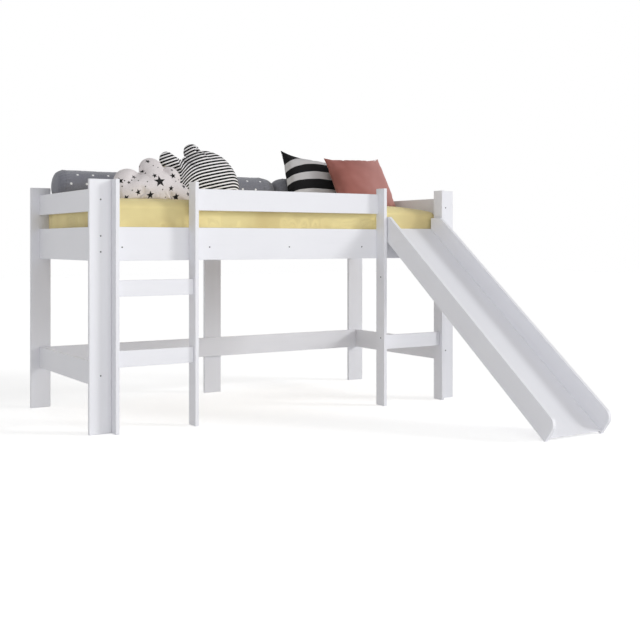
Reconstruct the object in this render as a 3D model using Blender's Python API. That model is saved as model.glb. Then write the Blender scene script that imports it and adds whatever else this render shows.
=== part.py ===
# Children's mid-height bed with a hook-on slide, a fixed ladder, a mattress and its cushions.
# Metres, +Z up. The bed's front faces -Y and its length runs along X.

import bmesh
import bpy
from math import asin, atan2, cos, degrees, hypot, pi, radians, sin, sqrt, tan
from mathutils import Matrix, Vector

for old in list(bpy.data.objects):
    bpy.data.objects.remove(old, do_unlink=True)

# Boards and the room for the mattress. The gap is left wherever two pieces touch, and faces
# that meet at more than the sharp angle, in degrees, keep their edge.
seatGap = 0.0003
boardThickness = 0.018
edgeEase = 0.001
sharpAngle = 40
lyingLength = 1.910
lyingWidth = 0.810
endInset = 0.042

# Uprights
postHeight = 1.113
cornerWidth = 0.100
middleWidth = 0.100
stileDepth = 0.070
ladderClear = 0.360
slideClear = 0.360

# Rails and guards, with how far their top edges lie below the tops of the uprights
railHeight = 0.150
railDrop = 0.208
guardHeight = 0.100
frontGuardDrop = 0.029
endGuardDrop = 0.038
lowRailHeight = 0.104
lowRailBottom = 0.203

# Rungs
rungHeight = 0.072
rungSetback = 0.020
lowerRungBottom = 0.289
rungPitch = 0.3095

# Bed base
cleatHeight = 0.040
cleatDepth = 0.022
cleatDrop = 0.070
slatWidth = 0.070
slatThickness = 0.018
slatCount = 14
slatPlay = 0.003

# Slide
slidePlay = 0.004
slideReach = 1.165
panelWidth = 0.110
panelRise = 0.062
noseRadius = 0.040
noseSteps = 6
footFlat = 0.006
chuteLift = 0.012
chuteThickness = 0.006
chuteStep = 0.005
barWidth = 0.060
barThickness = 0.011
barPlaceShares = (0.03, 0.50, 0.90)

# Steel hooks that hang the slide on the front rail
hookThickness = 0.0025
hookWidth = 0.014
hookRise = 0.048
hookLeg = 0.025
hookPlay = 0.0006

# Mattress in its fitted sheet, with the room around it
mattressEndPlay = 0.010
mattressSidePlay = 0.005
mattressHeight = 0.180
mattressCorner = 0.032
mattressTopRound = 0.045
mattressFootRound = 0.025
droopDepth = 0.030
droopLength = 0.360
droopPower = 1.1
lengthCells = 9
widthCells = 5

# Bolsters along the back: the short one fills what the long one leaves
bolsterPress = 0.004
bolsterRadius = 0.086
longCapDepths = (0.046, 0.092)
shortCapDepths = (0.075, 0.046)
capShares = ((0.48, 0.03), (0.71, 0.12), (0.86, 0.32), (0.96, 0.62), (1.00, 1.00))
bolsterSides = 24
bolsterLeftSpace = 0.022
bolsterRightSpace = 0.032
bolsterBetween = 0.006
bolsterBackSpace = 0.002
longBolster = 1.245

# Cushions: how far the middle lies from the bed's nearer end, and the bottom edge from its front
# for the clouds and from its back for the squares
seamThickness = 0.004
cushionPress = 0.014
squareCells = 10
squareDrawShare = 0.06
squarePuffPower = 0.45
cloudSides = 72
cloudRings = 5
cloudLobePower = 2.5

starCloudWidth = 0.390
starCloudThickness = 0.125
starCloudFromEnd = 0.368
starCloudFromFront = 0.160
starCloudLean = 14

stripedCloudWidth = 0.440
stripedCloudThickness = 0.165
stripedCloudFromEnd = 0.725
stripedCloudFromFront = 0.310
stripedCloudLean = 10

stripedSquareSize = 0.368
stripedSquareThickness = 0.105
stripedSquareFromEnd = 0.500
stripedSquareFromBack = 0.332
stripedSquareLean = 28
stripedSquareRoll = -6
stripedSquareDip = 0.022

roseSquareSize = 0.365
roseSquareThickness = 0.110
roseSquareFromEnd = 0.283
roseSquareFromBack = 0.510
roseSquareLean = 36
roseSquareRoll = 0
roseSquareDip = 0.010

# Round lobes of the two cloud outlines: centre across, centre up and radius, as shares of the
# cushion's width, with the height of the middle above the flat base as its own share.
starLobeShares = (
    (0.00, 0.00, 0.24),
    (-0.30, 0.026, 0.19),
    (0.005, 0.205, 0.158),
    (0.228, 0.117, 0.144),
    (-0.30, -0.07, 0.16),
    (0.312, -0.092, 0.163),
)
starBaseShare = 0.20
stripedLobeShares = (
    (-0.02, -0.013, 0.409),
    (-0.166, 0.362, 0.105),
    (-0.473, 0.265, 0.098),
    (-0.36, -0.03, 0.20),
)
stripedBaseShare = 0.24

# Places worked out from the sizes above
bedLength = lyingLength + 2 * (boardThickness + endInset)
bedDepth = lyingWidth + 4 * boardThickness
halfLength = bedLength / 2
railTop = postHeight - railDrop
frontGuardTop = postHeight - frontGuardDrop
endGuardTop = postHeight - endGuardDrop
cleatTop = railTop - cleatDrop
slatBottom = cleatTop + seatGap
mattressBottom = slatBottom + slatThickness + seatGap
mattressTop = mattressBottom + mattressHeight
mattressLength = lyingLength - 2 * mattressEndPlay
mattressWidth = lyingWidth - 2 * mattressSidePlay
cushionSeat = mattressTop + seatGap

# The slide is pitched so that its chute ends just above the front rail's top edge.
hookRoom = hookThickness + 2 * seatGap
slideRun = slideReach + boardThickness - hookRoom
chuteEndHeight = railTop + chuteStep
chuteTopLift = chuteLift + chuteThickness
slideAngle = atan2(chuteEndHeight, slideRun) - asin(chuteTopLift / hypot(slideRun, chuteEndHeight))
slideSlope = tan(slideAngle)
tipDepth = footFlat / (slideSlope + 1 / slideSlope)
tipReach = slideReach + tipDepth / slideSlope
noseReach = (panelWidth - noseRadius) * sin(slideAngle) + noseRadius * (1 - cos(slideAngle))

# The origin is on the floor below the middle of the whole object, slide included.
frontY = (tipReach + noseReach - bedDepth) / 2
backY = frontY + bedDepth
cutY = frontY + boardThickness - hookRoom

finishes = {
    "lacquer": ((0.86, 0.86, 0.88), 0.42, 0.0),
    "slat wood": ((0.62, 0.46, 0.27), 0.60, 0.0),
    "steel": ((0.55, 0.56, 0.58), 0.35, 1.0),
    "yellow sheet": ((0.86, 0.72, 0.38), 0.90, 0.0),
    "grey dotted cotton": ((0.15, 0.16, 0.19), 0.92, 0.0),
    "star cotton": ((0.80, 0.75, 0.74), 0.92, 0.0),
    "fine striped cotton": ((0.45, 0.45, 0.46), 0.90, 0.0),
    "broad striped weave": ((0.28, 0.28, 0.29), 0.95, 0.0),
    "rose velvet": ((0.40, 0.15, 0.13), 0.85, 0.0),
}


def makeMaterial(name, color, roughness, metallic):
    material = bpy.data.materials.new(name + "_finish")
    material.use_nodes = True
    shader = material.node_tree.nodes["Principled BSDF"]
    shader.inputs["Base Color"].default_value = (*color, 1.0)
    shader.inputs["Roughness"].default_value = roughness
    shader.inputs["Metallic"].default_value = metallic
    material.diffuse_color = (*color, 1.0)
    return material


def addObject(name, shape, finish, place, carrier=None, smooth=False):
    mesh = bpy.data.meshes.new(name)
    shape.to_mesh(mesh)
    shape.free()
    mesh.materials.append(makeMaterial(name, *finishes[finish]))
    if smooth:
        mesh.shade_smooth()
        mesh.set_sharp_from_angle(angle=radians(sharpAngle))
    piece = bpy.data.objects.new(name, mesh)
    bpy.context.collection.objects.link(piece)
    piece.location = place
    if carrier:
        piece.parent = carrier
        piece.location = Vector(place) - carrier.location
    return piece


def makeCarrier(name, place):
    carrier = bpy.data.objects.new(name, None)
    bpy.context.collection.objects.link(carrier)
    carrier.location = place
    return carrier


# Boards

def easeEdges(shape):
    bmesh.ops.bevel(shape, geom=list(shape.edges), offset=edgeEase, segments=1, affect="EDGES")


def addBoard(name, low, high, finish="lacquer"):
    size = [b - a for a, b in zip(low, high)]
    middle = [(a + b) / 2 for a, b in zip(low, high)]
    shape = bmesh.new()
    bmesh.ops.create_cube(shape, size=1.0)
    bmesh.ops.scale(shape, vec=size, verts=shape.verts)
    easeEdges(shape)
    return addObject(name, shape, finish, middle)


def addUprights():
    rows = {
        "front": (frontY, frontY + boardThickness),
        "back": (backY - boardThickness, backY),
    }
    for row, (y1, y2) in rows.items():
        for side, x in (("left", -halfLength), ("right", halfLength - cornerWidth)):
            name = "corner_board_" + row + "_" + side
            addBoard(name, (x, y1, 0.0), (x + cornerWidth, y2, postHeight))
    y1, y2 = rows["back"]
    addBoard("middle_board_back", (-middleWidth / 2, y1, 0.0), (middleWidth / 2, y2, postHeight))


def stilePlaces():
    # Left faces of the two ladder stiles and of the two posts that stand beside the slide.
    first = -halfLength + cornerWidth + seatGap
    last = halfLength - cornerWidth - seatGap - boardThickness
    return first, first + boardThickness + ladderClear, last - slideClear - boardThickness, last


def addStiles():
    names = ("ladder_stile_left", "ladder_stile_right", "slide_post_left", "slide_post_right")
    back = frontY + boardThickness
    for name, x in zip(names, stilePlaces()):
        low = (x, back - stileDepth, 0.0)
        addBoard(name, low, (x + boardThickness, back, postHeight))


def addRails():
    inner = lyingLength / 2
    outer = inner + boardThickness
    reach = inner - seatGap
    front = frontY + boardThickness + seatGap
    back = backY - boardThickness - seatGap
    railRow = (railTop - railHeight, railTop)
    guardRow = (endGuardTop - guardHeight, endGuardTop)
    lowRow = (lowRailBottom, lowRailBottom + lowRailHeight)
    frontInner = frontY + 2 * boardThickness
    backInner = backY - 2 * boardThickness
    addBoard("side_rail_front", (-reach, front, railRow[0]), (reach, frontInner, railRow[1]))
    for name, row in (("side_rail_back", railRow), ("guard_back", guardRow), ("low_rail_back", lowRow)):
        addBoard(name, (-reach, backInner, row[0]), (reach, back, row[1]))
    for name, row in (("end_rail", railRow), ("guard_end", guardRow), ("low_rail_end", lowRow)):
        addBoard(name + "_left", (-outer, front, row[0]), (-inner, back, row[1]))
        addBoard(name + "_right", (inner, front, row[0]), (outer, back, row[1]))


def addFrontGuardAndRungs():
    first, second, third, last = stilePlaces()
    low = (second + boardThickness + seatGap, frontY, frontGuardTop - guardHeight)
    addBoard("guard_front", low, (third - seatGap, frontY + boardThickness, frontGuardTop))
    front = frontY + boardThickness - stileDepth + rungSetback
    rungs = (
        ("rung_lower", first, second, lowerRungBottom),
        ("rung_upper", first, second, lowerRungBottom + rungPitch),
        ("rung_slide_bay", third, last, lowerRungBottom),
    )
    for name, x1, x2, z in rungs:
        low = (x1 + boardThickness + seatGap, front, z)
        addBoard(name, low, (x2 - seatGap, front + boardThickness, z + rungHeight))


def addBase():
    reach = lyingLength / 2 - seatGap
    front = frontY + 2 * boardThickness + seatGap
    back = backY - 2 * boardThickness - seatGap
    bottom = cleatTop - cleatHeight
    addBoard("slat_cleat_front", (-reach, front, bottom), (reach, front + cleatDepth, cleatTop), "slat wood")
    addBoard("slat_cleat_back", (-reach, back - cleatDepth, bottom), (reach, back, cleatTop), "slat wood")
    pitch = (lyingLength - 2 * slatPlay - slatWidth) / (slatCount - 1)
    for i in range(slatCount):
        x = slatPlay - lyingLength / 2 + i * pitch
        low = (x, front + slatPlay, slatBottom)
        high = (x + slatWidth, back - slatPlay, slatBottom + slatThickness)
        addBoard("slat_%02d" % (i + 1), low, high, "slat wood")


# Slide

def slidePoint(along, across):
    # A point of the slide's side view, from the lower tip: up the slope, and square to it.
    y = frontY - tipReach + along * cos(slideAngle) - across * sin(slideAngle)
    z = along * sin(slideAngle) + across * cos(slideAngle) - tipDepth
    return y, z


def slopeToCut(across):
    # How far up the slope a line at this height above the lower edge meets the upright end cut.
    return (cutY - frontY + tipReach + across * sin(slideAngle)) / cos(slideAngle)


def panelOutline():
    top = railTop + panelRise
    levelFrom = (top + tipDepth - panelWidth * cos(slideAngle)) / sin(slideAngle)
    points = [
        (frontY - slideReach, 0.0),
        slidePoint(slopeToCut(0.0), 0.0),
        (cutY, top),
        slidePoint(levelFrom, panelWidth),
    ]
    for i in range(noseSteps + 1):
        turn = pi / 2 * i / noseSteps
        along = noseRadius * (1 - sin(turn))
        points.append(slidePoint(along, panelWidth - noseRadius * (1 - cos(turn))))
    points.append((frontY - slideReach - footFlat, 0.0))
    return points


def hookOutline():
    seat = railTop + seatGap
    plate = frontY + boardThickness - seatGap - hookThickness
    rear = frontY + 2 * boardThickness + hookPlay
    return [
        (plate, seat + hookRise),
        (plate, seat),
        (rear, seat),
        (rear, seat - hookLeg),
        (rear + hookThickness, seat - hookLeg),
        (rear + hookThickness, seat + hookThickness),
        (plate + hookThickness, seat + hookThickness),
        (plate + hookThickness, seat + hookRise),
    ]


def addSidePiece(name, outline, x, width, carrier, finish="lacquer", eased=True):
    # The outline runs in the YZ plane and is extruded evenly to both sides of x.
    y0, z0 = carrier.location.y, carrier.location.z
    shape = bmesh.new()
    near = [shape.verts.new((-width / 2, y - y0, z - z0)) for y, z in outline]
    face = shape.faces.new(near)
    swept = bmesh.ops.extrude_face_region(shape, geom=[face])
    far = [v for v in swept["geom"] if isinstance(v, bmesh.types.BMVert)]
    bmesh.ops.translate(shape, verts=far, vec=(width, 0.0, 0.0))
    bmesh.ops.recalc_face_normals(shape, faces=shape.faces)
    if eased:
        easeEdges(shape)
    return addObject(name, shape, finish, (x, y0, z0), carrier)


def addSlide():
    third, last = stilePlaces()[2:]
    left = third + boardThickness + slidePlay
    right = last - slidePlay
    middle = (left + right) / 2
    inside = right - left - 2 * boardThickness - 2 * seatGap
    carrier = makeCarrier("slide_carrier", (middle, frontY + boardThickness, railTop))
    sides = {"left": left + boardThickness / 2, "right": right - boardThickness / 2}
    for side, x in sides.items():
        addSidePiece("slide_panel_" + side, panelOutline(), x, boardThickness, carrier)
        addSidePiece("slide_hook_" + side, hookOutline(), x, hookWidth, carrier, "steel", False)

    foot = footFlat
    chute = (
        slidePoint(foot, chuteLift),
        slidePoint(slopeToCut(chuteLift), chuteLift),
        slidePoint(slopeToCut(chuteTopLift), chuteTopLift),
        slidePoint(foot, chuteTopLift),
    )
    addSidePiece("slide_chute", chute, middle, inside, carrier)
    high = chuteLift - seatGap
    low = high - barThickness
    for name, share in zip(("foot", "middle", "top"), barPlaceShares):
        start = share * slopeToCut(0.0)
        stop = start + barWidth
        corners = ((start, low), (stop, low), (stop, high), (start, high))
        outline = [slidePoint(along, across) for along, across in corners]
        addSidePiece("slide_bar_" + name, outline, middle, inside, carrier)


# Mattress

def stations(half, corner, cells):
    # Grid lines along one side: closer over the round corners, even between them.
    flat = half - corner
    step = corner * tan(pi / 8)
    even = [-flat + 2 * flat * i / cells for i in range(cells + 1)]
    return [-half, -flat - step] + even + [flat + step, half]


def roundOff(place, half, low, high):
    # Bends a point of the block's surface onto its rounded edges and corners.
    moved = []
    for value, reach, before, after in zip(place, half, low, high):
        if value > reach - after:
            moved.append((value - reach + after) / after)
        elif value < before - reach:
            moved.append((value + reach - before) / before)
        else:
            moved.append(0.0)
    size = sqrt(sum(part * part for part in moved))
    spot = []
    for value, reach, before, after, part in zip(place, half, low, high, moved):
        if part > 0.0:
            spot.append(reach - after + after * part / size)
        elif part < 0.0:
            spot.append(before - reach + before * part / size)
        else:
            spot.append(value)
    return spot


def mattressShape():
    half = (mattressLength / 2, mattressWidth / 2, mattressHeight / 2)
    low = (mattressCorner, mattressCorner, mattressFootRound)
    high = (mattressCorner, mattressCorner, mattressTopRound)
    upright = stations(half[2], mattressTopRound, 1)
    upright[1] = -half[2] + mattressFootRound * (1 - tan(pi / 8))
    upright[2] = -half[2] + mattressFootRound
    lines = (
        stations(half[0], mattressCorner, lengthCells),
        stations(half[1], mattressCorner, widthCells),
        upright,
    )
    counts = [len(line) - 1 for line in lines]
    shape = bmesh.new()
    verts = {}

    def corner(spot):
        if spot not in verts:
            x, y, z = roundOff([line[i] for line, i in zip(lines, spot)], half, low, high)
            past = max(0.0, x - half[0] + droopLength) / droopLength
            z -= droopDepth * past ** droopPower * (z + half[2]) / mattressHeight
            verts[spot] = shape.verts.new((x, y, z))
        return verts[spot]

    for axis in range(3):
        u, v = [i for i in range(3) if i != axis]
        for end in (0, counts[axis]):
            for i in range(counts[u]):
                for j in range(counts[v]):
                    ring = []
                    for a, b in ((i, j), (i + 1, j), (i + 1, j + 1), (i, j + 1)):
                        spot = [0, 0, 0]
                        spot[axis], spot[u], spot[v] = end, a, b
                        ring.append(corner(tuple(spot)))
                    shape.faces.new(ring)
    bmesh.ops.recalc_face_normals(shape, faces=shape.faces)
    return shape


def addMattress():
    middle = Vector((0.0, (frontY + backY) / 2, mattressBottom + mattressHeight / 2))
    addObject("mattress", mattressShape(), "yellow sheet", middle, smooth=True)
    rise = Vector((0.0, 0.0, seatGap))
    cutter = addObject("mattress_cutter", mattressShape(), "yellow sheet", middle + rise)
    cutter.hide_render = True
    cutter.display_type = "WIRE"
    return cutter


def seatOn(piece, cutter):
    # The piece sinks a little into the mattress, which takes away what would overlap.
    cut = piece.modifiers.new("seat", "BOOLEAN")
    cut.operation = "DIFFERENCE"
    cut.object = cutter


# Bolsters

def bolsterShape(length, capDepths):
    left, right = capDepths
    rings = [(left * deep - length / 2, bolsterRadius * wide) for wide, deep in capShares]
    rings += [(length / 2 - right * deep, bolsterRadius * wide) for wide, deep in reversed(capShares)]
    shape = bmesh.new()
    loops = []
    for x, radius in rings:
        turns = [2 * pi * k / bolsterSides for k in range(bolsterSides)]
        loops.append([shape.verts.new((x, radius * cos(t), radius * sin(t))) for t in turns])
    for one, two in zip(loops, loops[1:]):
        for k in range(bolsterSides):
            j = (k + 1) % bolsterSides
            shape.faces.new((one[k], one[j], two[j], two[k]))
    for loop, x in ((loops[0], -length / 2), (loops[-1], length / 2)):
        tip = shape.verts.new((x, 0.0, 0.0))
        for k in range(bolsterSides):
            shape.faces.new((loop[k], tip, loop[(k + 1) % bolsterSides]))
    bmesh.ops.recalc_face_normals(shape, faces=shape.faces)
    return shape


def addBolsters(cutter):
    y = backY - 2 * boardThickness - bolsterBackSpace - bolsterRadius
    z = cushionSeat + bolsterRadius - bolsterPress
    start = bolsterLeftSpace - lyingLength / 2
    short = lyingLength - bolsterLeftSpace - longBolster - bolsterBetween - bolsterRightSpace
    bolsters = (
        ("bolster_long", longBolster, longCapDepths),
        ("bolster_short", short, shortCapDepths),
    )
    for name, length, capDepths in bolsters:
        place = (start + length / 2, y, z)
        shape = bolsterShape(length, capDepths)
        bolster = addObject(name, shape, "grey dotted cotton", place, smooth=True)
        seatOn(bolster, cutter)
        start += length + bolsterBetween


# Cushions, made lying down with the front towards +Z and stood up by their rotation

def joinSides(shape, front, back):
    # Closes the thin seam between the rims of a cushion's two faces.
    for k in range(len(front)):
        j = (k + 1) % len(front)
        shape.faces.new((front[k], back[k], back[j], front[j]))


def squareShape(size, thickness, dip):
    cells = squareCells
    marks = [sin(pi / 2 * (2 * i / cells - 1)) for i in range(cells + 1)]
    shape = bmesh.new()
    rims = []
    for side in (1, -1):
        grid = []
        for v in marks:
            row = []
            for u in marks:
                x = size / 2 * u * (1 - squareDrawShare * (1 - v * v))
                y = size / 2 * v * (1 - squareDrawShare * (1 - u * u))
                y -= dip * (1 - u * u) * ((1 + v) / 2) ** 2
                puff = max(0.0, (1 - u * u) * (1 - v * v)) ** squarePuffPower
                z = side * (seamThickness + (thickness - seamThickness) * puff) / 2
                row.append(shape.verts.new((x, y, z)))
            grid.append(row)
        for j in range(cells):
            for i in range(cells):
                shape.faces.new((grid[j][i], grid[j][i + 1], grid[j + 1][i + 1], grid[j + 1][i]))
        rim = grid[0][:-1] + [row[-1] for row in grid[:-1]]
        rim += grid[-1][:0:-1] + [row[0] for row in grid[:0:-1]]
        rims.append(rim)
    joinSides(shape, *rims)
    bmesh.ops.recalc_face_normals(shape, faces=shape.faces)
    return shape


def cloudRadius(turn, lobes, base):
    # The farthest reach of the round lobes in this direction, cut off by the flat base.
    reach = 0.0
    for across, up, radius in lobes:
        ahead = across * cos(turn) + up * sin(turn)
        aside = up * cos(turn) - across * sin(turn)
        if abs(aside) < radius:
            reach = max(reach, ahead + sqrt(radius * radius - aside * aside))
    if sin(turn) < 0.0:
        reach = min(reach, base / -sin(turn))
    return reach


def cloudShape(width, thickness, lobes, base):
    shape = bmesh.new()
    turns = [2 * pi * k / cloudSides for k in range(cloudSides)]
    reaches = [width * cloudRadius(turn, lobes, base) for turn in turns]
    even = sum(reaches) / cloudSides
    rims = []
    for side in (1, -1):
        tip = shape.verts.new((0.0, 0.0, side * thickness / 2))
        inner = None
        for ring in range(1, cloudRings + 1):
            part = sin(pi / 2 * ring / cloudRings)
            puff = sqrt(max(0.0, 1 - part * part))
            z = side * (seamThickness + (thickness - seamThickness) * puff) / 2
            loop = []
            lobed = part ** cloudLobePower
            for turn, reach in zip(turns, reaches):
                out = part * (even + (reach - even) * lobed)
                loop.append(shape.verts.new((out * cos(turn), out * sin(turn), z)))
            for k in range(cloudSides):
                j = (k + 1) % cloudSides
                ends = (inner[k], loop[k], loop[j], inner[j]) if inner else (tip, loop[k], loop[j])
                shape.faces.new(ends)
            inner = loop
        rims.append(inner)
    joinSides(shape, *rims)
    bmesh.ops.recalc_face_normals(shape, faces=shape.faces)
    return shape


def standUp(piece, x, y, rise, lean, roll, cutter):
    # Stands the piece on its bottom edge, leaning back and rolled in its own plane.
    turn = Matrix.Rotation(pi / 2 - radians(lean), 3, "X") @ Matrix.Rotation(radians(roll), 3, "Z")
    foot = Vector((x, y, cushionSeat - cushionPress))
    piece.location = foot + turn @ Vector((0.0, rise, 0.0))
    piece.rotation_euler = turn.to_euler()
    seatOn(piece, cutter)


def addClouds(cutter):
    clouds = (
        ("cushion_cloud_stars", "star cotton", starCloudWidth, starCloudThickness, starLobeShares,
         starBaseShare, starCloudFromEnd, starCloudFromFront, starCloudLean),
        ("cushion_cloud_stripes", "fine striped cotton", stripedCloudWidth, stripedCloudThickness,
         stripedLobeShares, stripedBaseShare, stripedCloudFromEnd, stripedCloudFromFront,
         stripedCloudLean),
    )
    for name, finish, width, thickness, lobes, base, fromEnd, fromFront, lean in clouds:
        shape = cloudShape(width, thickness, lobes, base)
        piece = addObject(name, shape, finish, (0.0, 0.0, 0.0), smooth=True)
        x = fromEnd - halfLength
        standUp(piece, x, frontY + fromFront, base * width, lean, 0.0, cutter)


def addSquares(cutter):
    squares = (
        ("cushion_square_stripes", "broad striped weave", stripedSquareSize, stripedSquareThickness,
         stripedSquareDip, stripedSquareFromEnd, stripedSquareFromBack, stripedSquareLean,
         stripedSquareRoll),
        ("cushion_square_rose", "rose velvet", roseSquareSize, roseSquareThickness,
         roseSquareDip, roseSquareFromEnd, roseSquareFromBack, roseSquareLean, roseSquareRoll),
    )
    for name, finish, size, thickness, dip, fromEnd, fromBack, lean, roll in squares:
        shape = squareShape(size, thickness, dip)
        piece = addObject(name, shape, finish, (0.0, 0.0, 0.0), smooth=True)
        x = halfLength - fromEnd
        standUp(piece, x, backY - fromBack, size / 2, lean, roll, cutter)


addUprights()
addStiles()
addRails()
addFrontGuardAndRungs()
addBase()
addSlide()
mattressCutter = addMattress()
addBolsters(mattressCutter)
addClouds(mattressCutter)
addSquares(mattressCutter)
print("slide pitch in degrees", round(degrees(slideAngle), 2))
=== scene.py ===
# Looks for the children's bed with a hook-on slide: lacquered boards, a mattress in a fitted
# sheet, two bolsters and four loose cushions.

from math import atan2, cos, hypot, pi, radians, sin, sqrt

import bmesh
import bpy
import numpy as np
from mathutils import Matrix, Vector, noise
from mathutils.bvhtree import BVHTree


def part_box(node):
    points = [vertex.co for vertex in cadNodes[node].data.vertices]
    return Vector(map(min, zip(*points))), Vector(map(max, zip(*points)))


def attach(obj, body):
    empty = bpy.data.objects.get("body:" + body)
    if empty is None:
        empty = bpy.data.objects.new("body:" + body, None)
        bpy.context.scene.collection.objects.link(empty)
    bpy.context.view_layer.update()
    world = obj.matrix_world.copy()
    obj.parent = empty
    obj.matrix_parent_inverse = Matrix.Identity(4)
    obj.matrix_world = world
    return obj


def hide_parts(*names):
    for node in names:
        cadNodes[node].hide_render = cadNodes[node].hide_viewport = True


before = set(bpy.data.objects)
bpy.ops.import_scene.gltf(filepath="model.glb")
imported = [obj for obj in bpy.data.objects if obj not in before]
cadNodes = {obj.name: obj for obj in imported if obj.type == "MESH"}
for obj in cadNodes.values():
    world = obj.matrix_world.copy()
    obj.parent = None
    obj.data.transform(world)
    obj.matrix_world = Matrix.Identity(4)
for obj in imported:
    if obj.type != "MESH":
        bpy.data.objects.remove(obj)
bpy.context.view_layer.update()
scene = bpy.context.scene

mergeGap = 0.00001
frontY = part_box("corner_board_front_left")[0].y
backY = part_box("corner_board_back_left")[1].y
halfLength = -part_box("corner_board_front_left")[0].x
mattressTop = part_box("mattress")[1].z


# Small helpers for nodes, materials and meshes


def putNode(tree, kind, inputs=None, **settings):
    made = tree.nodes.new("ShaderNode" + kind)
    for name, value in settings.items():
        setattr(made, name, value)
    for name, value in (inputs or {}).items():
        feed(tree, made.inputs[name], value)
    return made


def feed(tree, socket, value):
    if isinstance(value, bpy.types.NodeSocket):
        tree.links.new(value, socket)
    else:
        socket.default_value = value


mathSigns = {
    "+": "ADD", "-": "SUBTRACT", "*": "MULTIPLY", "/": "DIVIDE", "*+": "MULTIPLY_ADD",
    "<": "LESS_THAN", ">": "GREATER_THAN",
}


def calc(tree, sign, *values):
    made = putNode(tree, "Math", operation=mathSigns.get(sign, sign))
    for socket, value in zip(made.inputs, values):
        feed(tree, socket, value)
    return made.outputs[0]


def blendColor(tree, share, one, two):
    made = putNode(tree, "Mix", data_type="RGBA")
    for place, value in ((0, share), (6, one), (7, two)):
        if isinstance(value, tuple):
            value = (*value, 1.0)
        feed(tree, made.inputs[place], value)
    return made.outputs[2]


def band(tree, value, low, high):
    # 0 below low, 1 above high, smooth between them
    sockets = {"Value": value, "From Min": low, "From Max": high}
    made = putNode(tree, "MapRange", sockets, interpolation_type="SMOOTHSTEP")
    return made.outputs["Result"]


def shaded(color, share):
    return tuple(share * c for c in color)


def startMaterial(name, sockets):
    material = bpy.data.materials.new(name)
    material.use_nodes = True
    tree = material.node_tree
    shader = tree.nodes["Principled BSDF"]
    for socket, value in sockets.items():
        shader.inputs[socket].default_value = value
    return material, tree, shader


def colorFrom(tree, shader, share, one, two):
    tree.links.new(blendColor(tree, share, one, two), shader.inputs["Base Color"])


def addObject(name, data):
    made = bpy.data.objects.new(name, data)
    scene.collection.objects.link(made)
    return made


def newPiece(name, shape):
    mesh = bpy.data.meshes.new(name)
    shape.to_mesh(mesh)
    shape.free()
    return addObject(name, mesh)


# Camera, light and floor

cameraSettings = {
    "place": (-2.5049, -4.0777, 0.8328), "turn": (90.0, 0.0, -32.806), "lens": 56.862,
    "sensor": 36.0, "shift": (-0.01789, -0.12001), "farthest": 100.0,
}
lightSettings = {
    "walls": 0.83, "ceiling": 0.28, "ceilingFrom": (0.25, 0.85),
    "sun": 1.10, "sunFrom": (0.75, -0.60, 0.35), "softness": 15.0,
    "panel": 24.0, "panelSize": 2.2, "panelPlace": (-0.55, -3.55, 1.05),
    "panelAim": (-0.05, 0.4, 0.55),
    "floorTone": 0.90, "floorRoughness": 0.9, "floorLift": 0.50, "floorSize": 40.0,
    "floorGap": 0.001,
}


def makeCamera():
    s = cameraSettings
    data = bpy.data.cameras.new("camera")
    data.lens = s["lens"]
    data.sensor_width = s["sensor"]
    data.shift_x, data.shift_y = s["shift"]
    data.clip_end = s["farthest"]
    camera = addObject("camera", data)
    camera.location = s["place"]
    camera.rotation_euler = [radians(a) for a in s["turn"]]
    scene.camera = camera


def seenRays(tree):
    # 1 for what the camera sees, directly, in a mirror or through glass
    path = putNode(tree, "LightPath")
    either = calc(tree, "MAXIMUM", path.outputs["Is Camera Ray"], path.outputs["Is Glossy Ray"])
    return calc(tree, "MAXIMUM", either, path.outputs["Is Transmission Ray"])


def addLamp(name, kind, strength, away):
    lamp = addObject(name, bpy.data.lights.new(name, kind))
    lamp.data.energy = strength
    lamp.rotation_euler = away.to_track_quat("Z", "Y").to_euler()
    return lamp


def makeLight():
    s = lightSettings
    world = bpy.data.worlds.new("room")
    scene.world = world
    world.use_nodes = True
    tree = world.node_tree
    background = tree.nodes["Background"]
    background.inputs["Color"].default_value = (1.0, 1.0, 1.0, 1.0)
    # A dimmer ceiling over bright walls, and plain white for what the camera sees
    around = putNode(tree, "TexCoord").outputs["Generated"]
    height = putNode(tree, "SeparateXYZ", {"Vector": around}).outputs["Z"]
    rise = band(tree, height, *s["ceilingFrom"])
    room = calc(tree, "*+", rise, s["ceiling"] - s["walls"], s["walls"])
    lift = calc(tree, "*", seenRays(tree), calc(tree, "-", 1.0, room))
    feed(tree, background.inputs["Strength"], calc(tree, "+", lift, room))
    sun = addLamp("sun", "SUN", s["sun"], Vector(s["sunFrom"]))
    sun.data.angle = radians(s["softness"])
    place = Vector(s["panelPlace"])
    panel = addLamp("panel", "AREA", s["panel"], place - Vector(s["panelAim"]))
    panel.data.size = s["panelSize"]
    panel.location = place
    panel.visible_camera = False


def makeFloor():
    s = lightSettings
    shape = bmesh.new()
    bmesh.ops.create_grid(shape, size=s["floorSize"] / 2)
    bmesh.ops.translate(shape, verts=shape.verts, vec=(0, 0, -s["floorGap"]))
    floor = newPiece("floor", shape)
    tone = s["floorTone"]
    material, tree, shader = startMaterial("pale floor", {
        "Base Color": (tone, tone, tone, 1.0),
        "Roughness": s["floorRoughness"],
        "Specular IOR Level": 0.0,
    })
    # It glows a little for what the camera sees, which keeps the far floor white
    lift = calc(tree, "*", seenRays(tree), s["floorLift"])
    glow = putNode(tree, "Emission", {"Strength": lift})
    both = putNode(tree, "AddShader", {0: shader.outputs[0], 1: glow.outputs[0]})
    tree.links.new(both.outputs[0], tree.nodes["Material Output"].inputs["Surface"])
    floor.data.materials.append(material)


makeCamera()
makeLight()
makeFloor()
scene.view_settings.view_transform = "Standard"
print("camera, light and floor are made")


# Finishes of the boards and the metal

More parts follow.
